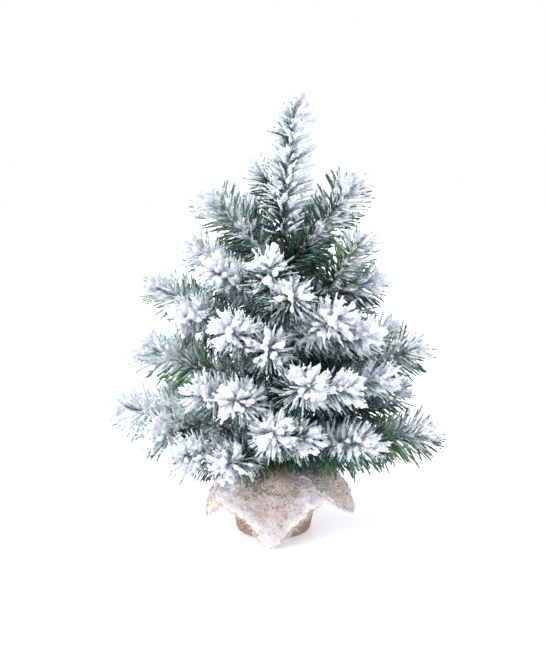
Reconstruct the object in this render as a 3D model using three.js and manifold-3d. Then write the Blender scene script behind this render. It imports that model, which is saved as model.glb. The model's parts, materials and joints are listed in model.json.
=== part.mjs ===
// Snow-flocked tabletop tree on a burlap-wrapped, weighted base.
// Millimetres, +Z up, the front of the tree towards -Y. The origin is on the underside
// of the base, below the trunk.
import * as THREE from 'three';
import { mergeVertices } from 'three/addons/utils/BufferGeometryUtils.js';
import Module from 'manifold-3d';

const wasm = await Module();
wasm.setup();

// ---- driving dimensions ----
const GAP = 0.3; // between pieces that touch
const TREE_HEIGHT = 450;

const BASE_SIDES = 32; // facets round the pot
const CLOTH = 2; // folded thickness of the burlap
const POT = { bottomRadius: 38.3, topRadius: 45.3, height: 53 }; // over the burlap
const CUP_WALL = 1.4;
const CEMENT_TOP = 46;
const SHOULDER = { rise: 5, radius: 30, height: 63.5 }; // the burlap closing in over the pot's rim
const NECK = { radius: 12, tieHeight: 70.5, topHeight: 75, flare: 4 }; // where the burlap is gathered
const TWINE = { radius: 1.6, sides: 6, steps: 24 };

const ROD_RADIUS = 2.2; // steel core of the trunk
const ROD_SIDES = 10;
const TAPE_RADIUS = 4.4; // over the tape that binds the branch wires to it
const TAPE_SIDES = 12;
const ROD_FOOT = 10;
const TAPE_FOOT = 50;
const TRUNK_TOP = 300;
const TRUNK_LEAN = 8; // how far the trunk's top leans to the right
const LEAN_START = 180; // height where the lean begins
const TRUNK_STEPS = 10;
const TRUNK_BENDS = [0, 0.25, 0.5, 0.7, 0.85, 1]; // shares of the height where its curve is fixed

const WIRE_RADIUS = 1.1; // one twisted pair
const WIRE_SIDES = 6;
const HINGE_CLEARANCE = 1.5; // from the trunk's tape to the bend in a branch's wire
// The sleeve of needles: slim, then bushy over its last part, then tapered to the tip.
const NEEDLES = {
  slimRadius: 3, slimSwell: 1.4, slimLength: 4, bushy: 60, spread: 16, radius: 13, taper: 12, tipRadius: 6,
  wireShort: 14, // the wire ends this far inside the tip
};
const SLEEVE_SIDES = 8;
const SLEEVE_START = 6; // needles begin this far out from the bend

// Each branch: the height where its wire leaves the trunk, and its tips as
// [azimuth in degrees, reach from the tree's middle line, height], the main tip first.
// The side tips fork off the main wire, BRANCH_FORK of the way along it.
const BRANCH_FORK = 0.42;
const BRANCHES = [
  // lowest tier, nearly level
  { root: 101, tips: [[-90, 150, 148], [-69, 116, 128]] },
  { root: 90, tips: [[-47, 134, 122], [-27, 122, 102]] },
  { root: 84, tips: [[-6, 168, 107], [12, 142, 92]] },
  { root: 94, tips: [[25, 160, 134], [50, 146, 122]] },
  { root: 87, tips: [[82, 158, 120], [108, 142, 108]] },
  { root: 92, tips: [[134, 158, 124], [156, 138, 132]] },
  { root: 98, tips: [[-174, 166, 138], [-155, 138, 113]] },
  { root: 84, tips: [[-137, 134, 107], [-113, 116, 101]] },
  // second tier
  { root: 138, tips: [[-75, 144, 190], [-52, 132, 176]] },
  { root: 130, tips: [[-107, 138, 174], [-133, 122, 170]] },
  { root: 148, tips: [[-2, 157, 196], [-28, 132, 172], [9, 128, 214]] },
  { root: 136, tips: [[56, 148, 186], [30, 132, 180]] },
  { root: 142, tips: [[116, 148, 190], [88, 130, 178]] },
  { root: 146, tips: [[-177, 142, 198], [154, 130, 184]] },
  // third tier
  { root: 184, tips: [[-111, 128, 240], [-90, 112, 216]] },
  { root: 190, tips: [[-55, 120, 249], [-32, 122, 218]] },
  { root: 186, tips: [[62, 124, 240], [28, 118, 226], [98, 116, 230]] },
  { root: 194, tips: [[178, 132, 264], [-145, 112, 236], [142, 118, 230]] },
  // fourth tier
  { root: 232, tips: [[-78, 106, 266], [-96, 80, 300]] },
  { root: 240, tips: [[-168, 92, 308], [-136, 86, 282]] },
  { root: 236, tips: [[0, 112, 264], [-14, 96, 318]] },
  { root: 238, tips: [[96, 100, 288], [54, 94, 282], [136, 92, 284]] },
  // top tier
  { root: 281, tips: [[-176, 72, 354], [122, 57, 338]] },
  { root: 270, tips: [[2, 86, 366], [58, 72, 334]] },
];
// The leader stands up from the trunk's top and leans on to the right; its side wire forks off low.
const LEADER = { fork: 0.2, tips: [[0, 22, TREE_HEIGHT], [138, 28, 384]] };

// The burlap's four corners flop out over the tie. Each is a run of stations
// [distance from the middle line, height, half width] from the neck to the corner's point.
const FLAPS = [
  {
    azimuth: -98,
    run: [[10, 75, 7], [28, 72, 30], [46, 62, 50], [52, 50, 47], [57, 26, 24], [62, 1.5, 1.5]],
  },
  { azimuth: -10, run: [[10, 75, 7], [28, 73, 28], [50, 65, 38], [68, 47, 26], [84, 26, 1.5]] },
  { azimuth: 90, run: [[10, 75, 7], [28, 72, 30], [46, 62, 46], [53, 48, 38], [60, 24, 1.5]] },
  { azimuth: -168, run: [[10, 75, 7], [28, 73, 28], [46, 65, 36], [60, 44, 24], [71, 20, 1.5]] },
];

const COLOURS = {
  needles: 0x2f5a3c, wire: 0x5b4630, tape: 0x4a4a2c, steel: 0x8b8d90,
  burlap: 0xb48a5c, twine: 0xa9855a, cup: 0x2c2c2c, cement: 0xa5a29b,
};

// ---- helpers ----
const UP = new THREE.Vector3(0, 0, 1);
const ALONG = new THREE.Vector3(0, 1, 0); // the axis that lathes and cylinders are made on
const group = new THREE.Group();

function material(colour, roughness, metalness = 0) {
  return new THREE.MeshStandardMaterial({ color: colour, roughness, metalness });
}

function addPiece(name, geometry, pieceMaterial) {
  const mesh = new THREE.Mesh(geometry, pieceMaterial);
  mesh.name = name;
  group.add(mesh);
}

function toSolid(geometry) {
  const bare = geometry.clone();
  bare.deleteAttribute('normal');
  bare.deleteAttribute('uv');
  const merged = mergeVertices(bare);
  return new wasm.Manifold(new wasm.Mesh({
    numProp: 3,
    vertProperties: new Float32Array(merged.attributes.position.array),
    triVerts: new Uint32Array(merged.index.array),
  }));
}

function toGeometry(solid) {
  const mesh = solid.getMesh();
  const geometry = new THREE.BufferGeometry();
  geometry.setAttribute('position', new THREE.BufferAttribute(mesh.vertProperties, 3));
  geometry.setIndex(new THREE.BufferAttribute(mesh.triVerts, 1));
  geometry.computeVertexNormals();
  return geometry;
}

// A turned shape standing on +Z from a profile of [radius, height] pairs.
function turned(profile, sides) {
  const points = profile.map(([radius, height]) => new THREE.Vector2(radius, height));
  return new THREE.LatheGeometry(points, sides).rotateX(Math.PI / 2);
}

// Lays a shape made along +Y from a start point in a direction.
function laid(geometry, start, direction) {
  const turn = new THREE.Quaternion().setFromUnitVectors(ALONG, direction);
  return geometry.applyQuaternion(turn).translate(start.x, start.y, start.z);
}

function polar(azimuth, radius, height) {
  const angle = THREE.MathUtils.degToRad(azimuth);
  return new THREE.Vector3(radius * Math.cos(angle), radius * Math.sin(angle), height);
}

// The trunk's middle line at a height: upright below, leaning to the right above.
function trunkLine(height) {
  const share = Math.max(0, (height - LEAN_START) / (TRUNK_TOP - LEAN_START));
  return new THREE.Vector3(TRUNK_LEAN * share * share, 0, height);
}

// A solid sheet of even thickness over a grid of points, rows of equal length.
function sheet(rows, thickness) {
  const across = rows[0].length;
  const count = rows.length * across;
  const at = (row, column) => rows[row][column];
  const positions = [];
  for (const side of [0.5, -0.5]) {
    rows.forEach((points, row) => points.forEach((point, column) => {
      const before = at(Math.max(row - 1, 0), column);
      const after = at(Math.min(row + 1, rows.length - 1), column);
      const left = at(row, Math.max(column - 1, 0));
      const right = at(row, Math.min(column + 1, across - 1));
      const normal = new THREE.Vector3().subVectors(after, before)
        .cross(new THREE.Vector3().subVectors(right, left)).normalize();
      const moved = point.clone().addScaledVector(normal, side * thickness);
      positions.push(moved.x, moved.y, moved.z);
    }));
  }
  const index = [];
  const quad = (a, b, c, d) => index.push(a, b, c, a, c, d);
  for (let row = 0; row < rows.length - 1; row += 1) {
    for (let column = 0; column < across - 1; column += 1) {
      const a = row * across + column;
      quad(a, a + across, a + across + 1, a + 1);
      quad(count + a, count + a + 1, count + a + across + 1, count + a + across);
    }
  }
  const rim = [];
  for (let column = 0; column < across - 1; column += 1) rim.push(column);
  for (let row = 0; row < rows.length - 1; row += 1) rim.push(row * across + across - 1);
  for (let column = across - 1; column > 0; column -= 1) rim.push(count - across + column);
  for (let row = rows.length - 1; row > 0; row -= 1) rim.push(row * across);
  rim.forEach((a, i) => {
    const b = rim[(i + 1) % rim.length];
    quad(a, b, count + b, count + a);
  });
  const geometry = new THREE.BufferGeometry();
  geometry.setAttribute('position', new THREE.Float32BufferAttribute(positions, 3));
  geometry.setIndex(index);
  return geometry;
}

// ---- the base: cup, cement, burlap and twine ----
function potRadius(height) {
  return THREE.MathUtils.mapLinear(height, CLOTH, POT.height, POT.bottomRadius, POT.topRadius);
}

function makeCup() {
  const foot = CLOTH + GAP;
  const outer = (height) => potRadius(height) - CLOTH - GAP;
  const inner = (height) => outer(height) - CUP_WALL;
  const floor = foot + CUP_WALL;
  addPiece('base_cup', turned([
    [0, foot], [outer(foot), foot], [outer(POT.height), POT.height],
    [inner(POT.height), POT.height], [inner(floor), floor], [0, floor],
  ], BASE_SIDES), material(COLOURS.cup, 0.6));

  const bore = ROD_RADIUS + GAP;
  const bottom = floor + GAP;
  addPiece('cement_weight', turned([
    [0, bottom], [inner(bottom) - GAP, bottom], [inner(CEMENT_TOP) - GAP, CEMENT_TOP],
    [bore, CEMENT_TOP], [bore, ROD_FOOT - GAP], [0, ROD_FOOT - GAP],
  ], BASE_SIDES), material(COLOURS.cement, 0.95));
}

function makeFlap({ azimuth, run }) {
  const lanes = [-1, -0.5, 0, 0.5, 1];
  const droop = 0.1; // the edges hang this share of their width below the middle
  const rows = run.map(([out, height, halfWidth]) => lanes.map((lane) => {
    const low = droop * halfWidth * lane * lane;
    return new THREE.Vector3(out, lane * halfWidth, height - Math.min(low, height - 1));
  }));
  return toSolid(sheet(rows, CLOTH).rotateZ(THREE.MathUtils.degToRad(azimuth)));
}

function makeBurlap() {
  const { radius, tieHeight, topHeight, flare } = NECK;
  const { rise } = SHOULDER;
  const top = potRadius(POT.height);
  const outside = [
    [0, 0], [POT.bottomRadius - 1, 0], [POT.bottomRadius, CLOTH], [top, POT.height],
    [top - CLOTH, POT.height + rise], [SHOULDER.radius, SHOULDER.height],
    [radius + flare, tieHeight - 3.5], [radius, tieHeight - 1], [radius, topHeight],
  ];
  const inside = [
    [radius - CLOTH, topHeight], [radius - CLOTH, tieHeight - CLOTH],
    [radius + flare - CLOTH, tieHeight - 5.5], [SHOULDER.radius - 1, SHOULDER.height - CLOTH],
    [top - 2 * CLOTH, POT.height + rise - 1],
    [top - CLOTH, POT.height], [POT.bottomRadius - CLOTH, CLOTH], [0, CLOTH],
  ];
  let cloth = toSolid(turned([...outside, ...inside], BASE_SIDES));
  for (const flap of FLAPS) cloth = cloth.add(makeFlap(flap));
  addPiece('burlap_wrap', toGeometry(cloth), material(COLOURS.burlap, 0.95));
}

function makeTwine() {
  const { radius, sides, steps } = TWINE;
  const ring = new THREE.TorusGeometry(NECK.radius + GAP + radius, radius, sides, steps)
    .translate(0, 0, NECK.tieHeight);
  addPiece('twine_tie', ring, material(COLOURS.twine, 0.95));
}

// ---- the trunk ----
function makeTrunk() {
  const path = (from) => new THREE.CatmullRomCurve3(
    TRUNK_BENDS.map((share) => trunkLine(THREE.MathUtils.lerp(from, TRUNK_TOP, share))),
  );
  const drawn = (section, from) => (
    new THREE.ExtrudeGeometry(section, { steps: TRUNK_STEPS, extrudePath: path(from) }));
  const circle = (radius, sides) => {
    const points = [];
    for (let i = 0; i < sides; i += 1) {
      const angle = (2 * Math.PI * i) / sides;
      points.push(new THREE.Vector2(radius * Math.cos(angle), radius * Math.sin(angle)));
    }
    return points;
  };
  const rod = new THREE.Shape(circle(ROD_RADIUS, ROD_SIDES));
  addPiece('trunk_rod', drawn(rod, ROD_FOOT), material(COLOURS.steel, 0.4, 0.9));

  const tape = new THREE.Shape(circle(TAPE_RADIUS, TAPE_SIDES));
  tape.holes.push(new THREE.Path(circle(ROD_RADIUS + GAP, TAPE_SIDES)));
  addPiece('trunk_tape', drawn(tape, TAPE_FOOT), material(COLOURS.tape, 0.6));
}

// ---- the branches ----
function wireStick(start, end, radius, startOver = 0, endOver = 0) {
  const direction = new THREE.Vector3().subVectors(end, start).normalize();
  const from = start.clone().addScaledVector(direction, -startOver);
  const length = from.distanceTo(end) + endOver;
  const stick = new THREE.CylinderGeometry(radius, radius, length, WIRE_SIDES).translate(0, length / 2, 0);
  return toSolid(laid(stick, from, direction));
}

// The outside of the needles on one wire: slim near the trunk, bushy at the tip.
function needleSleeve(start, end, sleeveStart) {
  const length = start.distanceTo(end);
  const direction = new THREE.Vector3().subVectors(end, start).normalize();
  const { slimRadius, slimSwell, slimLength, bushy, spread, radius, taper, tipRadius } = NEEDLES;
  const swell = Math.max(length - bushy, sleeveStart + slimLength);
  const profile = [
    [0, sleeveStart], [slimRadius, sleeveStart], [slimRadius + slimSwell, swell],
    [radius, swell + spread], [radius, length - taper], [tipRadius, length], [0, length],
  ];
  const points = profile.map(([r, h]) => new THREE.Vector2(r, h));
  return toSolid(laid(new THREE.LatheGeometry(points, SLEEVE_SIDES), start, direction));
}

function makeBranch(name, start, tips, forkShare) {
  const [mainTip, ...sideTips] = tips.map(([azimuth, reach, height]) => polar(azimuth, reach, height));
  const fork = new THREE.Vector3().lerpVectors(start, mainTip, forkShare);
  const runs = [[start, mainTip, SLEEVE_START], ...sideTips.map((tip) => [fork, tip, 0])];
  let wire;
  let bore;
  let sleeve;
  for (const [from, tip, sleeveStart] of runs) {
    const direction = new THREE.Vector3().subVectors(tip, from).normalize();
    const wireEnd = tip.clone().addScaledVector(direction, -NEEDLES.wireShort);
    const stick = wireStick(from, wireEnd, WIRE_RADIUS);
    const hole = wireStick(from, wireEnd, WIRE_RADIUS + GAP, GAP, GAP);
    const needles = needleSleeve(from, tip, sleeveStart);
    wire = wire ? wire.add(stick) : stick;
    bore = bore ? bore.add(hole) : hole;
    sleeve = sleeve ? sleeve.add(needles) : needles;
  }
  addPiece(`${name}_wire`, toGeometry(wire), material(COLOURS.wire, 0.5, 0.6));
  addPiece(`${name}_needles`, toGeometry(sleeve.subtract(bore)), material(COLOURS.needles, 0.8));
}

function branchRoot({ root, tips }) {
  const out = polar(tips[0][0], TAPE_RADIUS + HINGE_CLEARANCE, 0);
  return trunkLine(root).add(out);
}

makeCup();
makeBurlap();
makeTwine();
makeTrunk();
BRANCHES.forEach((branch, i) => {
  makeBranch(`branch_${String(i + 1).padStart(2, '0')}`, branchRoot(branch), branch.tips, BRANCH_FORK);
});
const leaderRoot = trunkLine(TRUNK_TOP).addScaledVector(UP, HINGE_CLEARANCE);
makeBranch('leader', leaderRoot, LEADER.tips, LEADER.fork);

export default group;
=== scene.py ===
"""Looks for the snow-flocked tabletop tree: needles, flock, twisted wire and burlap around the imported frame."""
import json
import math

import bpy
import numpy as np
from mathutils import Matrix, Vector
from mathutils.kdtree import KDTree


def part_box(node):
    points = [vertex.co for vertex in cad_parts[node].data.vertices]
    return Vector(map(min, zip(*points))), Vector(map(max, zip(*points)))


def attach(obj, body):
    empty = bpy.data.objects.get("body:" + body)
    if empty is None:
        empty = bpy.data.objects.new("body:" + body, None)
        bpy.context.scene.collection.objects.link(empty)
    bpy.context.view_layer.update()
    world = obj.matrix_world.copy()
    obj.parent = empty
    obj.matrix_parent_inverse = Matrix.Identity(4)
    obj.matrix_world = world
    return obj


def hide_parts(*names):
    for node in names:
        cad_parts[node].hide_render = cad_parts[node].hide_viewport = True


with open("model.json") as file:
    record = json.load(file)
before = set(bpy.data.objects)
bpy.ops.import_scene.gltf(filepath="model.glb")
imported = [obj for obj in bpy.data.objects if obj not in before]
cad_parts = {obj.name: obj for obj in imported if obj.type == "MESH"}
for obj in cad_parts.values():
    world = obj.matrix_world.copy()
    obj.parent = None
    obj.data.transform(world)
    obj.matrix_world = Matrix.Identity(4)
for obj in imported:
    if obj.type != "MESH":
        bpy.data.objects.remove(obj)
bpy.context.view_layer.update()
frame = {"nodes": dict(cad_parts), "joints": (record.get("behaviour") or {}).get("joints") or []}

MM = 0.001
UP = np.array([0.0, 0.0, 1.0])
FRONT = np.array([0.0, -1.0, 0.0])

# needles of slit film, held in the twist of a wire
NEEDLE_LENGTH = 27 * MM
NEEDLE_WIDTH = 2.15 * MM
NEEDLE_THICKNESS = 0.4 * MM
NEEDLES_PER_METRE = 2450
NEEDLE_ROWS = 4
TWIST_PITCH = 14 * MM
NEEDLE_LEAN = math.radians(60)  # from the wire
TIP_FOLD = math.radians(42)  # how much less the last needles lean
BARE_STALK = 9 * MM  # of a branch's wire, beside the trunk
BARE_FORK = 3 * MM  # of a side wire, and of the leader

WIRE_STRAND = 0.55 * MM
WIRE_PITCH = 5 * MM

# snow flock
VOXEL = 1.05 * MM
COATED = 0.26  # snow cover from which a needle carries a club of flock
CLUB_SIDES = 6

# burlap
THREAD_PITCH = 2.3  # mm from one thread of the weave to the next
THREAD_RADIUS = 0.34 * MM
CLOTH_THICKNESS = 0.8 * MM

# The tree's outline in metres: heights, and how far the needles reach at each.
OUTLINE = ((0.10, 0.19, 0.25, 0.30, 0.36, 0.45), (0.168, 0.155, 0.133, 0.112, 0.085, 0.026))
SIDE = 0.12  # distance to one side of the middle, from which a needle counts as at the side
LEAN_START = 0.18  # height where the trunk begins to lean
NO_TRIS = np.zeros((0, 3), int)


# ---- small helpers ----
def unit(v):
    return v / np.maximum(np.linalg.norm(v, axis=-1, keepdims=True), 1e-12)


def square_to(d):
    """Two unit vectors square to each row of d and to each other."""
    helper = np.where(np.abs(d[..., 2:3]) < 0.9, UP, np.array([1.0, 0.0, 0.0]))
    a = unit(np.cross(d, helper))
    return a, np.cross(d, a)


def lattice(ix, iy, iz):
    """A fixed pseudo-random value from 0 to 1 at each whole-number point."""
    h = (ix * 374761393 + iy * 668265263 + iz * 2147483647) & 0x7FFFFFFF
    h = ((h ^ (h >> 13)) * 1274126177) & 0x7FFFFFFF
    return ((h ^ (h >> 16)) & 0xFFFF) / 65535.0


def noise(points, scale, seed=0):
    """Smooth noise from -1 to 1 with features of about the given size."""
    p = points / scale + 100.0 + 17.31 * seed
    base = np.floor(p).astype(np.int64)
    f = p - base
    f = f * f * (3 - 2 * f)
    total = np.zeros(len(p))
    for dx in (0, 1):
        for dy in (0, 1):
            for dz in (0, 1):
                weight = (
                    (f[:, 0] if dx else 1 - f[:, 0])
                    * (f[:, 1] if dy else 1 - f[:, 1])
                    * (f[:, 2] if dz else 1 - f[:, 2])
                )
                total += weight * lattice(base[:, 0] + dx, base[:, 1] + dy, base[:, 2] + dz)
    return 2 * total - 1


def new_object(name, verts, quads, tris=NO_TRIS):
    """A mesh object from arrays of points, four-sided faces and three-sided faces."""
    mesh = bpy.data.meshes.new(name)
    mesh.vertices.add(len(verts))
    mesh.vertices.foreach_set("co", np.asarray(verts, np.float32).ravel())
    loops = np.concatenate([np.ravel(quads), np.ravel(tris)]).astype(np.int32)
    starts = np.concatenate([np.arange(len(quads)) * 4, len(quads) * 4 + np.arange(len(tris)) * 3])
    mesh.loops.add(len(loops))
    mesh.loops.foreach_set("vertex_index", loops)
    mesh.polygons.add(len(starts))
    mesh.polygons.foreach_set("loop_start", starts.astype(np.int32))
    mesh.polygons.foreach_set("use_smooth", np.ones(len(starts), bool))
    mesh.update(calc_edges=True)
    obj = bpy.data.objects.new(name, mesh)
    bpy.context.scene.collection.objects.link(obj)
    return obj


def level_square(half):
    return [(-half, -half, 0), (half, -half, 0), (half, half, 0), (-half, half, 0)], np.array([[0, 1, 2, 3]])


def paint(obj, name, values):
    """Gives every vertex a number that the material reads by name."""
    attribute = obj.data.attributes.new(name, "FLOAT", "POINT")
    attribute.data.foreach_set("value", np.asarray(values, np.float32))


def dress(obj, material, body, replaced=()):
    """Gives a piece its material, the body that carries it and the CAD nodes that it stands for."""
    obj.data.materials.append(material)
    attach(obj, body)
    if replaced:
        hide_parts(*replaced)
    return obj


def grid_quads(rows, across, wrap):
    """The faces of a grid of points, row by row; with wrap, each row is closed into a ring."""
    i = np.arange(rows - 1)[:, None] * across
    j = np.arange(across if wrap else across - 1)[None]
    k = (j + 1) % across
    return np.stack([i + j, i + k, i + across + k, i + across + j], -1).reshape(-1, 4)


def repeated(quads, count, points):
    """The faces of one shape that has the given number of points, for count such shapes in a row."""
    return (np.arange(count)[:, None, None] * points + np.asarray(quads)).reshape(-1, 4)


def tube(points, radius, sides):
    """Rings of points round a line, with closed ends: vertices, quads and end triangles."""
    points = np.asarray(points, float)
    along = unit(np.gradient(points, axis=0))
    a = np.zeros_like(points)
    a[0] = square_to(along[0])[0]
    for i in range(1, len(points)):
        a[i] = unit(a[i - 1] - along[i] * np.dot(a[i - 1], along[i]))
    b = np.cross(along, a)
    angle = np.linspace(0, 2 * math.pi, sides, endpoint=False)
    r = np.broadcast_to(np.asarray(radius, float), (len(points),))[:, None, None]
    ring = a[:, None] * np.cos(angle)[None, :, None] + b[:, None] * np.sin(angle)[None, :, None]
    verts = points[:, None] + ring * r
    count = len(points) * sides
    verts = np.concatenate([verts.reshape(-1, 3), points[:1], points[-1:]])
    j = np.arange(sides)
    k = (j + 1) % sides
    top = count - sides
    tris = np.concatenate([
        np.stack([k, j, np.full(sides, count)], -1),
        np.stack([top + j, top + k, np.full(sides, count + 1)], -1),
    ])
    return verts, grid_quads(len(points), sides, True), tris


def gather(shapes):
    """Several shapes, each its vertices, quads and triangles, as one."""
    verts, quads, tris, base = [], [], [], 0
    for v, q, t in shapes:
        verts.append(v)
        quads.append(q + base)
        tris.append(t + base)
        base += len(v)
    return np.concatenate(verts), np.concatenate(quads), np.concatenate(tris)


# ---- camera, lights and floor ----
def make_stage():
    """The photo's view, soft light from all round with a white background behind the tree, and a bright floor."""
    camera = bpy.data.objects.new("camera", bpy.data.cameras.new("camera"))
    bpy.context.scene.collection.objects.link(camera)
    target = Vector((0, 0, 0.216))
    elevation = math.radians(12)
    distance = 1.2
    back = Vector((0, -math.cos(elevation), math.sin(elevation)))
    camera.location = target + back * distance
    camera.rotation_euler = (-back).to_track_quat("-Z", "Y").to_euler()
    camera.data.lens = 65.8
    camera.data.sensor_width = 36
    camera.data.clip_start = 0.05
    bpy.context.scene.camera = camera

    world = bpy.data.worlds.new("world")
    bpy.context.scene.world = world
    world.use_nodes = True
    tree = world.node_tree
    soft = tree.nodes["Background"]
    soft.inputs["Color"].default_value = (0.92, 0.945, 1.0, 1)
    soft.inputs["Strength"].default_value = 0.92
    seen = tree.nodes.new("ShaderNodeBackground")
    seen.inputs["Color"].default_value = (1, 1, 1, 1)
    path = tree.nodes.new("ShaderNodeLightPath")
    choose = tree.nodes.new("ShaderNodeMixShader")
    tree.links.new(path.outputs["Is Camera Ray"], choose.inputs[0])
    tree.links.new(soft.outputs[0], choose.inputs[1])
    tree.links.new(seen.outputs[0], choose.inputs[2])
    tree.links.new(choose.outputs[0], tree.nodes["World Output"].inputs["Surface"])
    bpy.context.scene.view_settings.view_transform = "Standard"

    def sun(name, place, strength, angle, colour):
        light = bpy.data.lights.new(name, "SUN")
        light.energy = strength
        light.angle = math.radians(angle)
        light.color = colour
        obj = bpy.data.objects.new(name, light)
        bpy.context.scene.collection.objects.link(obj)
        obj.location = place
        obj.rotation_euler = (-Vector(place)).to_track_quat("-Z", "Y").to_euler()

    sun("key", (-0.6, -1.0, 1.5), 2.05, 35, (1.0, 0.98, 0.96))
    sun("fill", (1.3, -0.9, 0.6), 0.3, 60, (0.93, 0.96, 1.0))
    sun("side", (-1.5, -0.1, 0.5), 1.7, 60, (0.96, 0.98, 1.0))
    sun("back", (0.2, 1.3, 1.0), 0.7, 50, (0.97, 0.98, 1.0))

    floor = new_object("floor", *level_square(3))
    material = bpy.data.materials.new("floor")
    material.use_nodes = True
    shader = material.node_tree.nodes["Principled BSDF"]
    shader.inputs["Base Color"].default_value = (0.93, 0.94, 0.98, 1)
    shader.inputs["Roughness"].default_value = 0.6
    shader.inputs["Emission Color"].default_value = (0.93, 0.94, 1.0, 1)
    shader.inputs["Emission Strength"].default_value = 0.32
    floor.data.materials.append(material)


# ---- materials ----
class Look:
    """A procedural material: a principled shader and short calls that feed it."""

    def __init__(self, name, roughness, **sockets):
        self.material = bpy.data.materials.new(name)
        self.material.use_nodes = True
        self.tree = self.material.node_tree
        self.shader = self.tree.nodes["Principled BSDF"]
        self.shader.inputs["Roughness"].default_value = roughness
        for socket, value in sockets.items():
            self.shader.inputs[socket.replace("_", " ")].default_value = value

    def node(self, kind, **settings):
        made = self.tree.nodes.new(kind)
        for key, value in settings.items():
            setattr(made, key, value)
        return made

    def link(self, out, into):
        self.tree.links.new(out, into)

    def place(self):
        return self.node("ShaderNodeTexCoord").outputs["Object"]

    def attribute(self, name):
        return self.node("ShaderNodeAttribute", attribute_name=name).outputs["Fac"]

    def upward(self):
        split = self.node("ShaderNodeSeparateXYZ")
        self.link(self.node("ShaderNodeNewGeometry").outputs["Normal"], split.inputs[0])
        return split.outputs["Z"]

    def noise(self, scale, detail=2.0, roughness=0.5):
        texture = self.node("ShaderNodeTexNoise")
        texture.inputs["Scale"].default_value = scale
        texture.inputs["Detail"].default_value = detail
        texture.inputs["Roughness"].default_value = roughness
        self.link(self.place(), texture.inputs["Vector"])
        return texture.outputs["Fac"]

    def math(self, operation, a, b):
        made = self.node("ShaderNodeMath", operation=operation)
        for socket, value in zip(made.inputs, (a, b)):
            if isinstance(value, (int, float)):
                socket.default_value = value
            else:
                self.link(value, socket)
        return made.outputs[0]

    def ramp(self, value, *stops):
        made = self.node("ShaderNodeValToRGB")
        elements = made.color_ramp.elements
        while len(elements) < len(stops):
            elements.new(0.5)
        for element, (position, colour) in zip(elements, stops):
            element.position = position
            element.color = (*colour, 1)
        self.link(value, made.inputs["Fac"])
        return made.outputs["Color"]

    def mix(self, factor, a, b):
        made = self.node("ShaderNodeMix", data_type="RGBA")
        self.link(factor, made.inputs["Factor"])
        for socket, value in ((made.inputs[6], a), (made.inputs[7], b)):
            if isinstance(value, tuple):
                socket.default_value = (*value, 1)
            else:
                self.link(value, socket)
        return made.outputs[2]

    def colour(self, out):
        self.link(out, self.shader.inputs["Base Color"])

    def rough(self, value, low, high):
        spread = self.node("ShaderNodeMapRange")
        spread.inputs["To Min"].default_value = low
        spread.inputs["To Max"].default_value = high
        self.link(value, spread.inputs["Value"])
        self.link(spread.outputs[0], self.shader.inputs["Roughness"])

    def bump(self, height, strength, distance):
        made = self.node("ShaderNodeBump")
        made.inputs["Strength"].default_value = strength
        made.inputs["Distance"].default_value = distance
        self.link(height, made.inputs["Height"])
        self.link(made.outputs["Normal"], self.shader.inputs["Normal"])


def needle_look():
    look = Look("needle_film", 0.5)
    # the tone attribute holds the needles' own tone and painted light: lighter greens at the tree's sides, the left
    # and the top
    green = look.ramp(look.attribute("tone"), (0.0, (0.009, 0.036, 0.028)), (0.4, (0.020, 0.070, 0.046)),
                      (1.0, (0.15, 0.30, 0.10)))
    speckle = look.noise(520, 3.0, 0.65)
    patchy = look.math("MULTIPLY", look.math("SUBTRACT", speckle, 0.5), 1.1)
    frost = look.math("ADD", look.attribute("frost"), patchy)
    frost = look.math("ADD", frost, look.math("MULTIPLY", look.upward(), 0.22))
    cover = look.ramp(frost, (0.42, (0, 0, 0)), (0.62, (1, 1, 1)))
    look.colour(look.mix(cover, green, (0.66, 0.76, 0.78)))
    look.rough(frost, 0.35, 0.8)
    look.bump(speckle, 0.3, 0.0003)
    return look.material


def flock_look():
    look = Look("snow_flock", 0.85, Sheen_Weight=0.3, Subsurface_Weight=0.12, Subsurface_Scale=0.002)
    look.shader.inputs["Subsurface Radius"].default_value = (1.0, 0.9, 0.9)
    patch = look.noise(260, 3.0)
    look.colour(look.ramp(patch, (0.3, (0.65, 0.67, 0.78)), (0.6, (0.83, 0.83, 0.87))))
    look.bump(look.noise(1900, 3.0, 0.7), 0.55, 0.0006)
    return look.material


def wire_look():
    look = Look("twisted_wire", 0.45, Metallic=0.4)
    grain = look.noise(700, 3.0)
    look.colour(look.ramp(grain, (0.3, (0.035, 0.022, 0.018)), (0.7, (0.16, 0.10, 0.075))))
    look.rough(grain, 0.35, 0.7)
    return look.material


def tape_look():
    look = Look("trunk_tape", 0.55)
    grain = look.noise(300, 4.0)
    look.colour(look.ramp(grain, (0.3, (0.03, 0.045, 0.02)), (0.7, (0.09, 0.085, 0.045))))
    look.bump(look.noise(1200, 3.0), 0.4, 0.0004)
    return look.material


def rod_look():
    look = Look("trunk_steel", 0.35, Metallic=1.0)
    grain = look.noise(500, 3.0)
    look.colour(look.ramp(grain, (0.3, (0.35, 0.35, 0.36)), (0.7, (0.62, 0.62, 0.63))))
    look.rough(grain, 0.3, 0.5)
    return look.material


def cup_look():
    look = Look("cup_plastic", 0.5)
    grain = look.noise(150, 4.0)
    look.colour(look.ramp(grain, (0.3, (0.012, 0.012, 0.013)), (0.7, (0.03, 0.03, 0.032))))
    look.rough(grain, 0.4, 0.65)
    look.bump(look.noise(2500, 2.0), 0.2, 0.0002)
    return look.material


def cement_look():
    look = Look("cement", 0.95)
    grain = look.noise(180, 6.0, 0.65)
    look.colour(look.ramp(grain, (0.3, (0.28, 0.27, 0.25)), (0.7, (0.52, 0.51, 0.48))))
    look.bump(look.noise(700, 5.0, 0.7), 0.7, 0.001)
    return look.material


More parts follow.
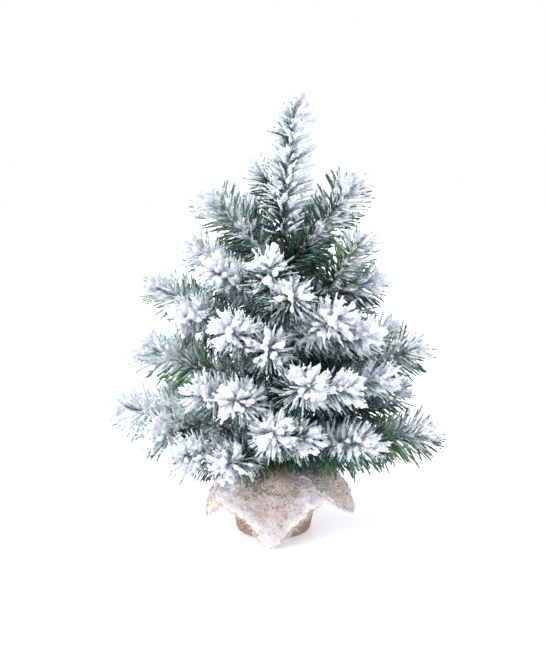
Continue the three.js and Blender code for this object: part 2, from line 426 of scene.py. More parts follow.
def burlap_look():
    """Plain weave in the cloth's own two directions, its threads over each other by turns, with painted shade in the
    gaps between them, dusted with flock.
    """
    look = Look("burlap", 0.9)
    waves = []
    for direction in ("warp", "weft"):
        turn = look.math("MULTIPLY", look.attribute(direction), math.pi / THREAD_PITCH)
        waves.append(look.math("SINE", turn, 0.0))
    over = look.math("SIGN", look.math("MULTIPLY", waves[0], waves[1]), 0.0)
    lift = look.math("MULTIPLY", over, 0.3)
    first = look.math("MULTIPLY", look.math("ABSOLUTE", waves[0], 0.0), look.math("ADD", 0.7, lift))
    second = look.math("MULTIPLY", look.math("ABSOLUTE", waves[1], 0.0), look.math("SUBTRACT", 0.7, lift))
    height = look.math("MAXIMUM", first, second)
    grain = look.noise(420, 4.0, 0.7)
    # painted shade: the cloth's colour is darkest where the threads dip, down in the gaps of the weave
    tone = look.math("ADD", look.math("MULTIPLY", height, 0.7), look.math("MULTIPLY", grain, 0.45))
    cloth = look.ramp(tone, (0.35, (0.060, 0.025, 0.010)), (0.75, (0.27, 0.135, 0.060)),
                      (1.0, (0.60, 0.39, 0.23)))
    fleck = look.noise(520, 3.0, 0.6)
    powdered = look.attribute("powder")
    dust = look.math("ADD", look.math("MULTIPLY", powdered, 0.5), look.math("MULTIPLY", fleck, 0.8))
    clinging = look.math("MAXIMUM", powdered, 0.45)
    dust = look.math("ADD", dust, look.math("MULTIPLY", look.math("SUBTRACT", height, 0.56), clinging))
    powder = look.ramp(dust, (0.66, (0.52, 0.41, 0.35)), (0.92, (0.96, 0.80, 0.67)))
    dusted = look.mix(look.ramp(dust, (0.54, (0, 0, 0)), (0.80, (1, 1, 1))), cloth, powder)
    specks = look.ramp(look.noise(780, 2.0, 0.6), (0.57, (0, 0, 0)), (0.64, (1, 1, 1)))
    look.colour(look.mix(specks, dusted, (0.86, 0.79, 0.74)))
    look.bump(height, 0.8, 0.0007)
    return look.material


def thread_look(name, dark, light):
    look = Look(name, 0.9, Sheen_Weight=0.15)
    look.colour(look.ramp(look.noise(500, 3.0, 0.7), (0.3, dark), (0.7, light)))
    look.bump(look.noise(2200, 2.0), 0.5, 0.0003)
    return look.material


def crust_look():
    """Flock on the cloth, thin enough in places for the tan cloth to tint it, and whitest at its rim."""
    look = Look("burlap_flock", 0.9, Sheen_Weight=0.2)
    fine = look.noise(620, 4.0, 0.7)
    broad = look.noise(70, 2.0)
    tone = look.math("ADD", look.math("MULTIPLY", fine, 0.7), look.math("MULTIPLY", broad, 0.3))
    tone = look.math("ADD", tone, look.math("MULTIPLY", look.attribute("rim"), 0.28))
    look.colour(look.ramp(tone, (0.38, (0.31, 0.215, 0.165)), (0.56, (0.50, 0.42, 0.39)),
                          (0.80, (0.75, 0.73, 0.76))))
    look.bump(look.noise(2400, 3.0, 0.7), 0.6, 0.0006)
    return look.material


# ---- where the wires run, read from the CAD ----
def wire_lines(body, joint):
    """The straight wires of a branch as (start, end): the main one first, then its side wires."""
    one_end = 3.2 * MM  # corners this close together belong to one end of a wire
    at_root = 8 * MM
    apart = 14 * MM  # the wires' tips and the fork are further apart than this
    mesh = frame["nodes"][f"{body}_wire"].data
    points = np.unique(np.round(np.array([v.co[:] for v in mesh.vertices]), 6), axis=0)
    root = np.array(joint["pos_m"], float)

    def from_root(point):
        return np.linalg.norm(point - root)

    clusters = []
    for p in points:
        for cluster in clusters:
            if np.linalg.norm(np.mean(cluster, axis=0) - p) < one_end:
                cluster.append(p)
                break
        else:
            clusters.append([p])
    centres = [np.mean(c, axis=0) for c in clusters]
    far = sorted((c for c in centres if from_root(c) > at_root), key=lambda c: -from_root(c))
    tips, joins = [], []
    for c in far:
        if any(np.linalg.norm(c - tip) < apart for tip in tips):
            continue
        # a fork lies less than half way out, and every tip lies further
        (tips if from_root(c) > 0.47 * from_root(far[0]) else joins).append(c)
    fork = min(joins, key=from_root) if joins else root

    def off_line(tip):
        return np.linalg.norm(np.cross(fork - root, unit(tip - root)))

    main = min(tips, key=off_line)
    start = root + unit(main - root) * np.dot(fork - root, unit(main - root))
    return [(root, main)] + [(start, tip) for tip in tips if tip is not main]


# ---- needles ----
def needle_field(start, end, first, reach, rng):
    """Each needle's root, direction and length on one wire, and how far it stands from the wire's end.

    The needles begin at the distance first from the wire's start. Their length is scaled by the two values of
    reach, the first at the wire's last 30 mm and the second from 90 mm in.
    """
    axis = unit(end - start)
    length = np.linalg.norm(end - start)
    count = int(NEEDLES_PER_METRE * (length - first))
    s = first + (length - first) * (np.arange(count) + rng.random(count)) / count
    turn = 2 * math.pi * (s / TWIST_PITCH + (np.arange(count) % NEEDLE_ROWS) / NEEDLE_ROWS)
    turn += rng.normal(0, 0.35, count)
    to_end = length - s
    lean = NEEDLE_LEAN - TIP_FOLD * np.exp(-to_end / (8 * MM))
    lean += rng.normal(0, math.radians(7), count)
    a, b = square_to(axis)
    side = a * np.cos(turn)[:, None] + b * np.sin(turn)[:, None]
    direction = axis * np.cos(lean)[:, None] + side * np.sin(lean)[:, None]
    root = start + axis * s[:, None] + side * 0.5 * MM
    size = NEEDLE_LENGTH * np.interp(to_end, (30 * MM, 90 * MM), reach)
    size *= 0.70 + 0.30 * np.minimum(1, to_end / (14 * MM))
    size *= 1 + rng.normal(0, 0.07, count)
    ends = root + direction * size[:, None]
    tuft = np.stack([noise(ends, 8 * MM, seed) for seed in (11, 12, 13)], 1)
    return root, unit(direction + 0.28 * tuft), size, to_end


def snow_cover(tip, root, direction, size, to_end, amount):
    """How much snow each needle carries: 0 is hardly any, 1 a thick coat.

    It was sprayed from above and outside, so it is thick where a needle points that way, at the wire's end and
    on the outside of the tree, and it lies in patches. The thinner snow deep inside the tree is partly painted
    shade.
    """
    outward = np.array([tip[0], tip[1], 0.0])
    outward /= max(np.linalg.norm(outward), 80 * MM)
    spray = unit(0.75 * UP + 0.7 * outward + 0.25 * FRONT)
    facing = direction @ spray
    ends = root + direction * size[:, None]
    patch = noise(ends, 14 * MM, 3)
    depth = np.hypot(ends[:, 0], ends[:, 1]) / np.interp(ends[:, 2], OUTLINE[0], OUTLINE[1])
    return (0.45 * facing + 0.35 * patch + 0.5 * np.exp(-to_end / (20 * MM))
            # partly painted shade: less snow, so darker needles, deep inside the tree
            + 0.35 * np.clip(depth - 0.75, -0.6, 0.2) + amount)


def needle_shapes(root, direction, size, bend, twist, axis):
    """A thin blunt strip for each needle, its end moved by bend, and turned by twist about its own length."""
    a = unit(axis - direction * (direction @ axis)[:, None])
    b = np.cross(direction, a)
    wide = a * np.cos(twist)[:, None] + b * np.sin(twist)[:, None]
    flat = np.cross(direction, wide)
    stations = np.array([0.0, 0.55, 1.0])
    widths = np.array([0.8, 1.0, 0.55]) * NEEDLE_WIDTH / 2
    centre = root[:, None] + direction[:, None] * (size[:, None] * stations)[..., None]
    centre += bend[:, None] * (stations ** 2)[None, :, None]
    w = wide[:, None] * widths[None, :, None]
    f = flat[:, None] * np.full((1, 3, 1), NEEDLE_THICKNESS / 2)
    verts = np.stack([centre - w - f, centre + w - f, centre + w + f, centre - w + f], 2)
    faces = (grid_quads(3, 4, True), [[3, 2, 1, 0]], [[8, 9, 10, 11]])  # sides, foot and end
    return verts.reshape(-1, 3), np.concatenate([repeated(quads, len(root), 3 * 4) for quads in faces])


# ---- flock ----
def clubs(start, end, thin, thick, rng):
    """Closed lumpy rods from start to end, one for each row, that swell from thin to thick."""
    d = unit(end - start)
    a, b = square_to(d)
    angle = np.arange(CLUB_SIDES) * 2 * math.pi / CLUB_SIDES
    ring = a[:, None] * np.cos(angle)[None, :, None] + b[:, None] * np.sin(angle)[None, :, None]
    length = np.linalg.norm(end - start, axis=1)[:, None]
    stations = np.array([0.0, 0.25, 0.5, 0.75, 0.92, 1.0])
    swell = np.array([0.0, 0.3, 0.6, 0.9, 1.0, 0.6])
    radii = thin[:, None] + (thick - thin)[:, None] * swell
    radii *= np.clip(1 + rng.normal(0, 0.25, radii.shape), 0.45, 1.7)
    radii[:, 0] *= 0.5
    radii[:, -1] *= 0.65
    radii = np.maximum(radii, 0.5 * MM)
    centre = start[:, None] + d[:, None] * (length * stations)[..., None]
    centre += rng.normal(0, 0.3 * MM, centre.shape)
    verts = centre[:, :, None] + ring[:, None] * radii[:, :, None, None]
    top = CLUB_SIDES * (len(stations) - 1)
    faces = [grid_quads(len(stations), CLUB_SIDES, True)]
    faces += [[corners] for corners in ([3, 2, 1, 0], [5, 4, 3, 0], [top, top + 1, top + 2, top + 3],
                                        [top, top + 3, top + 4, top + 5])]
    return verts.reshape(-1, 3), np.concatenate([repeated(quads, len(start), top + CLUB_SIDES) for quads in faces])


def fuse(obj, voxel, lumps):
    """Fuses an object's overlapping closed shapes into one crust, with lumps of each (size, height, seed)."""
    remesh = obj.modifiers.new("fuse", "REMESH")
    remesh.mode = "VOXEL"
    remesh.voxel_size = voxel
    remesh.use_smooth_shade = True
    graph = bpy.context.evaluated_depsgraph_get()
    fused = bpy.data.meshes.new_from_object(obj.evaluated_get(graph))
    obj.modifiers.clear()
    old = obj.data
    obj.data = fused
    bpy.data.meshes.remove(old)
    count = len(fused.vertices)
    co = np.zeros(count * 3, np.float32)
    normal = np.zeros(count * 3, np.float32)
    fused.vertices.foreach_get("co", co)
    fused.vertex_normals.foreach_get("vector", normal)
    co = co.reshape(-1, 3).astype(float)
    normal = normal.reshape(-1, 3)
    for scale, height, seed in lumps:
        co += normal * (noise(co, scale, seed) * height)[:, None]
    co[:, 2] = np.maximum(co[:, 2], 0.2 * MM)
    fused.vertices.foreach_set("co", co.astype(np.float32).ravel())
    fused.update()


# ---- one branch: wire, needles and flock ----
# How much more or less of the spray some branches caught than their neighbours.
DRIFTS = {
    "branch_03": -0.22, "branch_04": -0.14, "branch_06": -0.10, "branch_07": 0.05, "branch_08": 0.10,
    "branch_11": -0.08, "branch_14": 0.08, "branch_16": 0.16, "branch_18": 0.08, "branch_20": 0.10,
    "branch_21": 0.06, "branch_24": -0.06,
}


def twisted_pair(start, end, before):
    """Two strands twisted round each other, from the distance before ahead of start to end."""
    axis = unit(end - start)
    length = np.linalg.norm(end - start) + before
    a, b = square_to(axis)
    s = np.arange(0, length, WIRE_PITCH / 5)
    shapes = []
    for strand in (0, math.pi):
        turn = 2 * math.pi * s / WIRE_PITCH + strand
        points = start + axis * (s - before)[:, None]
        points = points + WIRE_STRAND * (a * np.cos(turn)[:, None] + b * np.sin(turn)[:, None])
        shapes.append(tube(points, WIRE_STRAND, 5))
    return gather(shapes)


def snow_amount(body, tip, rng):
    """How much of the spray a wire caught: most at the tree's front and left, and at the leader's tip; the extra on
    the left is partly painted light, that side whiter where the light falls.
    """
    side, ahead = unit(tip[:2])
    high = np.clip((tip[2] - 0.2) / 0.2, 0, 1)
    crown = np.clip((tip[2] - 0.40) / 0.04, 0, 1)
    # partly painted light: more snow, so whiter needles, on the left where the light falls
    return (-0.10 + 0.13 * max(0.0, -ahead) + 0.09 * max(0.0, -side) - 0.02 * max(0.0, side)
            + 0.03 * high + 0.40 * crown + DRIFTS.get(body, 0.0) + rng.normal(0, 0.05))


def flank(tip, body):
    """How far a branch points to one side of the tree, from 0 to 1."""
    return 0.0 if body == "leader" else float(np.clip(2 * abs(unit(tip[:2])[0]) - 0.8, 0, 1))


def needle_reach(tip, body):
    """How long a wire's needles are, near its end and further in: longest low down and high up at the sides."""
    if body == "leader":
        return 0.85, 1.05
    reach = 1 + 0.15 * flank(tip, body) * np.interp(tip[2], (0.22, 0.30, 0.32, 0.35), (1, 0, 0, 0.8))
    return reach, reach


def needle_frost(cover, sideways):
    """How white each needle is at its root, middle and end.

    Snow lies at the needles' ends where a branch faces the front, and along the wire where it points to one side.
    """
    facing, beside = np.array([-0.09, 0.05, 0.14]), np.array([0.10, 0.16, -0.34])
    return np.clip(cover[:, None] * 0.9 + 0.22 + (facing + (beside - facing) * sideways), 0, 1)


def needle_tone_and_light(root, rng):
    """How light each needle's green is: its own tone at random, with painted light lightest at the tree's sides,
    most of all the left, and high up.
    """
    patches_and_painted_light = noise(root, 45 * MM, 5) + 0.4 * noise(root, 12 * MM, 6) - 1.15
    # painted light: the needles' green made lighter at the sides, most of all on the left, and high up, where the
    # light falls
    patches_and_painted_light += 1.4 * np.clip(np.abs(root[:, 0]) / SIDE, 0, 1) + 1.1 * np.clip(-root[:, 0] / SIDE, 0, 1)
    patches_and_painted_light += 1.15 * np.clip((root[:, 2] - 0.25) / 0.1, 0, 1)
    return np.clip(rng.beta(2, 4, len(root)) + np.clip(patches_and_painted_light, 0, 0.6), 0, 1)


def needle_clubs(foot, tip, to_end, cover, sideways, rng):
    """Flock on each needle from near its foot to its tip: the snowier it is, the longer and the thicker."""
    thick = np.clip((cover - COATED) / 0.6, 0, 1)
    near_end = np.exp(-to_end / (25 * MM))
    low = np.maximum(0.52 - 0.27 * thick - 0.2 * (1 - near_end) - 0.25 * sideways, 0)
    high = 0.72 + 0.3 * near_end + 0.1 * rng.random(len(tip)) - 0.2 * sideways
    thin = (0.55 + 0.7 * thick) * MM
    fat = (0.8 + 1.35 * thick) * MM * np.clip(1 + rng.normal(0, 0.25, len(thick)), 0.55, 1.6)
    return clubs(foot + (tip - foot) * low[:, None], foot + (tip - foot) * high[:, None], thin, fat, rng)


def wire_clubs(start, end, rng):
    """Lumps of flock along the top of a wire."""
    share = np.arange(0.25, 0.86, 3.5 * MM / np.linalg.norm(end - start))
    crest = share[:, None] * (end - start) + start + UP * 1.5 * MM + FRONT * 0.8 * MM
    keep = noise(crest, 12 * MM, 4) > -0.1 - 0.5 * share
    crest = crest[keep] + rng.normal(0, 0.9 * MM, (keep.sum(), 3))
    lump = (1.2 + 1.3 * rng.random(len(crest))) * MM
    return clubs(crest, crest + unit(end - start) * 5 * MM, lump, lump, rng)


def make_branch(body, lines, looks, seed):
    """One branch's pieces: the twisted wires, the needles and the flock on them."""
    rng = np.random.default_rng(seed)
    wires = [twisted_pair(s, e, 3 * MM if i == 0 else 0) for i, (s, e) in enumerate(lines)]
    wire = new_object(f"{body}_twisted_wire", *gather(wires))
    dress(wire, looks["wire"], body, [f"{body}_wire"])

    strips, frosts, tones, coats = [], [], [], []
    for i, (start, end) in enumerate(lines):
        sideways = flank(end, body)
        bare = BARE_STALK if i == 0 and body != "leader" else BARE_FORK
        root, direction, size, to_end = needle_field(start, end, bare, needle_reach(end, body), rng)
        cover = snow_cover(end, root, direction, size, to_end, snow_amount(body, end, rng))
        bend = rng.normal(0, 1, root.shape) * MM - UP * 0.8 * MM
        twist = rng.normal(0, 0.6, len(root))
        strips.append((*needle_shapes(root, direction, size, bend, twist, unit(end - start)), NO_TRIS))
        # four corners at each of a needle's three stations
        frosts.append(np.repeat(needle_frost(cover, sideways), 4, axis=1).ravel())
        tones.append((needle_tone_and_light(root, rng)[:, None] * np.repeat([0.9, 1.0, 0.75], 4)).ravel())

        coated = cover > COATED
        tip = (root + direction * size[:, None] + bend)[coated]
        foot = (root + direction * (size * 0.12)[:, None])[coated]
        coats.append((*needle_clubs(foot, tip, to_end[coated], cover[coated], sideways, rng), NO_TRIS))
        coats.append((*wire_clubs(start, end, rng), NO_TRIS))
    needles = new_object(f"{body}_needle_film", *gather(strips))
    paint(needles, "frost", np.concatenate(frosts))
    paint(needles, "tone", np.concatenate(tones))
    dress(needles, looks["needles"], body, [f"{body}_needles"])

    flock = new_object(f"{body}_flock", *gather(coats))
    fuse(flock, VOXEL, [(4.5 * MM, 0.55 * MM, 1), (2.2 * MM, 0.75 * MM, 2)])
    dress(flock, looks["flock"], body)


# ---- trunk and base ----
def trunk_line(height, lean, top):
    """The trunk's middle line at each height: upright, then leaning over in a curve."""
    share = np.clip((height - LEAN_START) / (top - LEAN_START), 0, None)
    return np.stack([lean * share ** 2, np.zeros_like(height), height], -1)


def make_trunk(looks):
    """The tape that binds the branch wires to the core: overlapping laps, a little uneven."""
    sides, lap_height = 24, 8.5 * MM
    radius, rod_radius, ring_gap = 4.2 * MM, 2.2 * MM, 0.75 * MM
    low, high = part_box("trunk_tape")
    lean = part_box("trunk_rod")[1].x - rod_radius
    z = np.arange(low.z, high.z, ring_gap)
    centre = trunk_line(z, lean, high.z)
    verts, quads, tris = tube(centre, radius, sides)
    turn = np.tile(np.arange(sides) / sides, len(z))
    lap = (np.repeat(z, sides) / lap_height + turn) % 1.0
    middle = np.repeat(centre, sides, axis=0)
    swell = 1 + 0.10 * lap + 0.05 * noise(verts[:-2], 5 * MM, 7)
    verts[:-2] = middle + (verts[:-2] - middle) * swell[:, None]
    trunk = new_object("trunk_wrap", verts, quads, tris)
    dress(trunk, looks["tape"], "trunk_and_base", ["trunk_tape"])


# The sack from the middle of its foot up, in mm: distance from the middle, height, depth of the pleats.
SACK = [
    (1, 0.5, 0), (20, 0.5, 0), (34.5, 0.5, 0.2), (37.2, 2, 0.5), (38.4, 8, 0.9), (42.4, 30, 1.9),  # foot and side
    (45.8, 50, 2.8), (45.6, 54.5, 3.4), (40.5, 59.5, 4.6), (30, 63.5, 5.6), (18, 66.5, 4.6),  # rim and shoulder
    (12.5, 69, 2.0), (10.8, 71, 1.0), (11.5, 73, 1.8),  # neck, inside the twine
    (15, 75, 3.2), (21, 76.5, 4.5), (28, 76.5, 5.2), (34, 74, 5.5),  # ruff
]
RIM = 56  # height in mm from which the pleats also rise and fall
PLEATS = 22

SACK_ROWS, SACK_LANES = 100, 264
SACK_POWDER = 0.08  # hardly any: the corners and the branches kept the spray off the sack

# The cloth's corners: where each points in degrees, how thick its crust of flock is, how much powder it has, and
# its stations in mm from the neck to its point: distance from the middle, height, half width, shift to one side.
FLAPS = {
    "front": dict(azimuth=-98, crust=1.0, powder=0.55, stations=[
        (11, 74, 9, 0), (20, 75, 22, 0), (31, 72.5, 34, 0), (42, 66.5, 45, 0), (49, 57, 51, 1),
        (53, 44, 40, 2), (56.5, 26, 20, 6), (60, 8, 8, 5), (61.5, 1.5, 1, 4)]),
    "right": dict(azimuth=-14, crust=0.3, powder=0.82, stations=[
        (11, 74, 9, 0), (22, 75, 22, 0), (36, 72, 33, 0), (50, 66, 39, 0), (62, 57, 37, 0),
        (72, 46, 29, 0), (80, 35, 17, 0), (85, 27, 4, 0)]),
    "back": dict(azimuth=90, crust=0.55, powder=0.5, stations=[
        (11, 74, 9, 0), (20, 75, 22, 0), (31, 72.5, 34, 0), (42, 66.5, 42, 0), (49, 57, 44, 0),
        (53, 44, 34, 0), (57, 30, 14, 0), (59.5, 22, 1, 0)]),
    "left": dict(azimuth=-168, crust=0.45, powder=0.8, stations=[
        (11, 74, 9, 0), (20, 75, 22, 0), (32, 73, 30, 0), (46, 65, 36, 0), (56, 51, 30, 0),
        (64, 36, 18, 0), (71, 20, 1, 0)]),
}
FLAP_ROWS, FLAP_LANES = 50, 45
SETTLE_FRAMES = 24
STIFFENED = 0.25  # how firmly the flocked cloth keeps its shape, from 0 to 1


def smooth_run(stations, steps):
    """A smooth run through stations at even steps, and how far along it each step is.

    Distance is measured over the stations' first two numbers.
    """
    p = np.array(stations, float)
    gaps = np.linalg.norm(np.diff(p[:, :2], axis=0), axis=1)
    at = np.concatenate([[0], np.cumsum(gaps)])
    want = np.linspace(0, at[-1], steps)
    slope = np.gradient(p, at, axis=0)
    i = np.clip(np.searchsorted(at, want) - 1, 0, len(p) - 2)
    h = (at[i + 1] - at[i])[:, None]
    t = ((want - at[i]) / h[:, 0])[:, None]
    return ((2 * t**3 - 3 * t**2 + 1) * p[i] + (t**3 - 2 * t**2 + t) * h * slope[i]
            + (3 * t**2 - 2 * t**3) * p[i + 1] + (t**3 - t**2) * h * slope[i + 1]), want


def make_sack():
    """The gathered part's points in rows from the middle of the foot up, and their places in the flat cloth."""
    run, path = smooth_run(SACK, SACK_ROWS)
    angle = np.linspace(0, 2 * math.pi, SACK_LANES, endpoint=False)
    r, z, depth = (run[:, k][:, None] for k in range(3))
    pleats = np.sin(PLEATS * angle + 1.3 * np.cos(3 * angle) + 0.05 * z)
    pleats = pleats * (0.8 + 0.2 * np.sin(5 * angle + 1))
    radius = r + depth * pleats
    height = np.maximum(z + 0.35 * depth * np.cos(PLEATS * angle) * (z > RIM), 0.5)
    points = np.stack([radius * np.cos(angle), radius * np.sin(angle), height], -1) * MM
    flat = np.stack([path[:, None] * np.cos(angle), path[:, None] * np.sin(angle)], -1)
    return points, flat


def make_flap(azimuth, stations):
    """One corner's points in rows from the neck to its point, and their places in the flat cloth."""
    run, along = smooth_run(stations, FLAP_ROWS)
    lane = np.linspace(-1, 1, FLAP_LANES)[None]
    out, height, half, shift = (run[:, i][:, None] for i in range(4))
    share = (along / along[-1])[:, None]
    pleat = 2.4 * (1 - share) ** 1.5 * np.sin(lane * 9 + 2 * share) + 1.1 * np.sin(lane * 5 + 3 + 4 * share)
    droop = 0.10 * half * lane ** 2
    y = lane * half + shift
    angle = math.radians(azimuth)
    x = out + 0.35 * pleat
    z = np.maximum(height + 0.6 * pleat - droop, 0.9)
    sine, cosine = math.sin(angle), math.cos(angle)
    points = np.stack([x * cosine - y * sine, x * sine + y * cosine, z], -1)
    down = np.broadcast_to(along[:, None], y.shape)
    flat = np.stack([down + y, down - y], -1) / math.sqrt(2)  # the weave lies at 45 degrees to a corner's middle
    return points * MM, flat


def settle(flaps, sack):
    """Lets the cloth's corners, held at the neck, hang under their own weight over the sack and the floor."""
    size = FLAP_ROWS * FLAP_LANES
    quads = repeated(grid_quads(FLAP_ROWS, FLAP_LANES, False), len(flaps), size)
    hanging = new_object("hanging", np.concatenate([f.reshape(-1, 3) for f in flaps]), quads)
    held = hanging.vertex_groups.new(name="held")
    share = np.arange(FLAP_ROWS) / (FLAP_ROWS - 1)
    grip = np.clip((0.42 - share) / 0.17, STIFFENED, 1)  # held fast over the first quarter from the neck
    for index in range(len(flaps) * size):
        held.add([index], float(grip[(index % size) // FLAP_LANES]), "REPLACE")
    solids = [
        new_object("sack_solid", sack.reshape(-1, 3), grid_quads(*sack.shape[:2], True)),
        new_object("ground", *level_square(0.3)),
    ]
    for solid in solids:
        solid.modifiers.new("collision", "COLLISION")
        solid.collision.thickness_outer = CLOTH_THICKNESS
        solid.collision.cloth_friction = 20
    cloth = hanging.modifiers.new("cloth", "CLOTH")
    cloth.settings.quality = 8
    cloth.settings.mass = 0.25
    cloth.settings.tension_stiffness = 25
    cloth.settings.compression_stiffness = 25
    cloth.settings.shear_stiffness = 12
    cloth.settings.bending_stiffness = 4
    cloth.settings.shrink_min = -0.05
    cloth.settings.vertex_group_mass = "held"
    cloth.settings.pin_stiffness = 1.5
    cloth.collision_settings.distance_min = CLOTH_THICKNESS
    cloth.point_cache.frame_end = SETTLE_FRAMES
    scene = bpy.context.scene
    for frame_number in range(1, SETTLE_FRAMES + 1):
        scene.frame_set(frame_number)
    fallen = hanging.evaluated_get(bpy.context.evaluated_depsgraph_get()).data
    co = np.zeros(len(fallen.vertices) * 3, np.float32)
    fallen.vertices.foreach_get("co", co)
    scene.frame_set(1)
    for obj in [hanging, *solids]:
        mesh = obj.data
        bpy.data.objects.remove(obj)
        bpy.data.meshes.remove(mesh)
    return list(co.reshape(len(flaps), FLAP_ROWS, FLAP_LANES, 3).astype(float))


def grid_normals(points):
    """The outward direction at each point of a corner."""
    down = np.gradient(points, axis=0)
    across = np.gradient(points, axis=1)
    return unit(np.cross(down, across))


def make_fringe(flaps, looks):
    """Frayed edges: loose cross threads past each free edge, and two threads woven through them."""
    spacing = 1.35 * MM
    tucked = 1.2 * MM  # how far a loose thread reaches back into the cloth
    woven = ((1.5, 0.1, slice(2, -3)), (3.1, 0.4, slice(6, -10)))  # mm out, mm down, and its stretch of the edge
    rng = np.random.default_rng(77)
    shapes = []
    for points in flaps:
        free = points[8:-1]  # the rows below the neck
        for edge, inner in ((0, 2), (-1, -3)):
            line = free[:, edge]
            outward = unit(line - free[:, inner])
            at = np.concatenate([[0], np.cumsum(np.linalg.norm(np.diff(line, axis=0), axis=1))])
            places = np.arange(0, at[-1], spacing)
            start = np.stack([np.interp(places, at, line[:, k]) for k in range(3)], 1)
            way = unit(np.stack([np.interp(places, at, outward[:, k]) for k in range(3)], 1))
            t = np.linspace(0, 1, 5)[:, None]
            for p, d in zip(start, way):
                length = rng.uniform(3, 8.5) * MM
                d = unit(d + rng.normal(0, 0.16, 3))
                thread = p - d * tucked + d * length * t - UP * (1.2 * MM) * t ** 2
                thread += rng.normal(0, 0.12 * MM, (5, 3))
                thread[:, 2] = np.maximum(thread[:, 2], 0.5 * MM)
                shapes.append(tube(thread, np.linspace(0.36, 0.24, 5) * MM, 5))
            for out, down, stretch in woven:
                run = start[stretch] + way[stretch] * out * MM
                run[:, 2] += (0.35 * MM) * (-1.0) ** np.arange(len(run)) - down * MM
                run[:, 2] = np.maximum(run[:, 2], 0.6 * MM)
                shapes.append(tube(run, THREAD_RADIUS, 5))
    fringe = new_object("burlap_fringe", *gather(shapes))
    return dress(fringe, looks["burlap_thread"], "trunk_and_base")


def make_crust(flaps, looks):
    """The flock on the cloth's outer face: a thick crust on the front corner, patches on the others."""
    rng = np.random.default_rng(99)
    lane = np.linspace(-1, 1, FLAP_LANES)[None]  # from one edge to the other
    edge = np.abs(lane)
    row = np.linspace(0, 1, FLAP_ROWS)[:, None]  # from the neck to the point
    starts, ends, sizes = [], [], []
    for points, flap in zip(flaps, FLAPS.values()):
        patch = noise(points.reshape(-1, 3), 9 * MM, 21).reshape(FLAP_ROWS, FLAP_LANES)
        # thick at the edges and the point, thin towards the neck, most of all on the corner's left seen from outside
        want = flap["crust"] + 0.35 * edge ** 3 + 0.3 * row ** 2 + 0.35 * patch - 0.55
        want -= 1.6 * np.clip(0.54 - row, 0, 1) * (1 - 0.35 * lane)
        across, down = np.gradient(points, axis=1), np.gradient(points, axis=0)
        area = np.linalg.norm(across, axis=2) * np.linalg.norm(down, axis=2)
        chance = np.clip(want * 2.2 - 0.25, 0, 1) * area / (1.5 * MM) ** 2
        picks = np.repeat(np.arange(chance.size), rng.poisson(chance.ravel()))
        spot = points.reshape(-1, 3)[picks] + rng.normal(0, 0.7 * MM, (len(picks), 3))
        out = grid_normals(points).reshape(-1, 3)[picks]
        size = (0.7 + 0.9 * rng.random(len(picks)) ** 2 + 0.35 * np.clip(want.ravel()[picks], 0, 1)) * MM
        starts.append(spot)
        ends.append(spot + out * (0.9 * MM + 0.4 * size[:, None]))
        sizes.append(size)
    size = np.concatenate(sizes)
    crust = new_object("burlap_flock", *clubs(np.concatenate(starts), np.concatenate(ends), size, size, rng))
    fuse(crust, 0.95 * MM, [(3 * MM, 0.25 * MM, 31), (1.8 * MM, 0.4 * MM, 32)])

    rim = np.tile(np.maximum(edge ** 2, row ** 3).ravel(), len(flaps))
    finder = KDTree(len(rim))
    for index, point in enumerate(np.concatenate([f.reshape(-1, 3) for f in flaps])):
        finder.insert(point, index)
    finder.balance()
    paint(crust, "rim", rim[[finder.find(v.co)[1] for v in crust.data.vertices]])
    dress(crust, looks["crust"], "trunk_and_base")


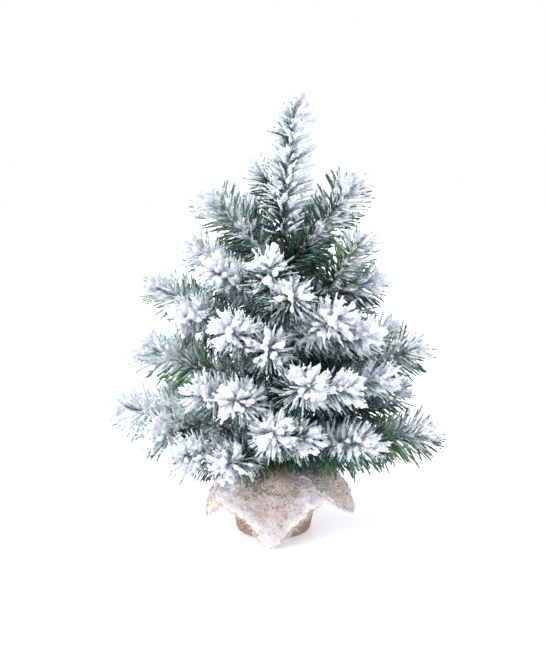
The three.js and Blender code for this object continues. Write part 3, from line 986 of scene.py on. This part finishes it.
def make_burlap(looks):
    """The cloth: the gathered sack and the four corners, with its frayed threads and its crust of flock."""
    sack, sack_flat = make_sack()
    made = [make_flap(flap["azimuth"], flap["stations"]) for flap in FLAPS.values()]
    flaps = [points for points, _ in made]
    flaps = settle(flaps, sack)
    for points in flaps:
        points[..., 2] = np.maximum(points[..., 2], 0.7 * MM)
    sack_size = SACK_ROWS * SACK_LANES
    flap_quads = repeated(grid_quads(FLAP_ROWS, FLAP_LANES, False), len(flaps), FLAP_ROWS * FLAP_LANES)
    cloth = new_object("burlap_cloth", np.concatenate([p.reshape(-1, 3) for p in (sack, *flaps)]),
                       np.concatenate([grid_quads(SACK_ROWS, SACK_LANES, True), flap_quads + sack_size]))
    flat = np.concatenate([f.reshape(-1, 2) for f in (sack_flat, *(f for _, f in made))])
    paint(cloth, "warp", flat[:, 0])
    paint(cloth, "weft", flat[:, 1])
    share = np.repeat(np.linspace(0, 1, FLAP_ROWS), FLAP_LANES)
    powder = [np.full(sack_size, SACK_POWDER)]
    for points, flap in zip(flaps, FLAPS.values()):
        powder.append(flap["powder"] + 0.4 * share**2 + 0.35 * noise(points.reshape(-1, 3), 10 * MM, 41))
    paint(cloth, "powder", np.concatenate(powder))
    solid = cloth.modifiers.new("thickness", "SOLIDIFY")
    solid.thickness = CLOTH_THICKNESS
    solid.offset = 0
    dress(cloth, looks["burlap"], "trunk_and_base", ["burlap_wrap"])
    fringe = make_fringe(flaps, looks)
    make_crust(flaps, looks)


def make_twine(looks):
    """Three strands laid round each other, in a ring about the cloth's neck."""
    strands, strand_radius, twists = 3, 0.8 * MM, 22
    lay = 0.75 * MM  # from the twine's middle to a strand's
    tie_radius = 1.6 * MM  # of the CAD ring's section
    low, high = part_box("twine_tie")
    ring = (high.x - low.x) / 2 - tie_radius
    middle = (high.z + low.z) / 2
    turn = np.linspace(0, 2 * math.pi, 180, endpoint=False)
    shapes = []
    for strand in range(strands):
        twist = twists * turn + strand * 2 * math.pi / strands
        r = ring + lay * np.cos(twist)
        z = middle + lay * np.sin(twist)
        points = np.stack([r * np.cos(turn), r * np.sin(turn), z], -1)
        shapes.append(tube(np.concatenate([points, points[:1]]), strand_radius, 6))
    twine = new_object("twine", *gather(shapes))
    dress(twine, looks["twine"], "trunk_and_base", ["twine_tie"])


def build():
    make_stage()
    looks = {
        "needles": needle_look(), "flock": flock_look(), "wire": wire_look(), "tape": tape_look(),
        "rod": rod_look(), "cup": cup_look(), "cement": cement_look(), "burlap": burlap_look(),
        "burlap_thread": thread_look("burlap_thread", (0.48, 0.37, 0.28), (0.84, 0.76, 0.68)),
        "twine": thread_look("twine", (0.22, 0.13, 0.06), (0.55, 0.38, 0.21)),
        "crust": crust_look(),
    }
    for node, look in (("trunk_rod", "rod"), ("base_cup", "cup"), ("cement_weight", "cement")):
        frame["nodes"][node].data.materials.clear()
        frame["nodes"][node].data.materials.append(looks[look])
    for seed, joint in enumerate(frame["joints"], 1):
        make_branch(joint["child"], wire_lines(joint["child"], joint), looks, seed)
    make_trunk(looks)
    make_burlap(looks)
    make_twine(looks)


build()
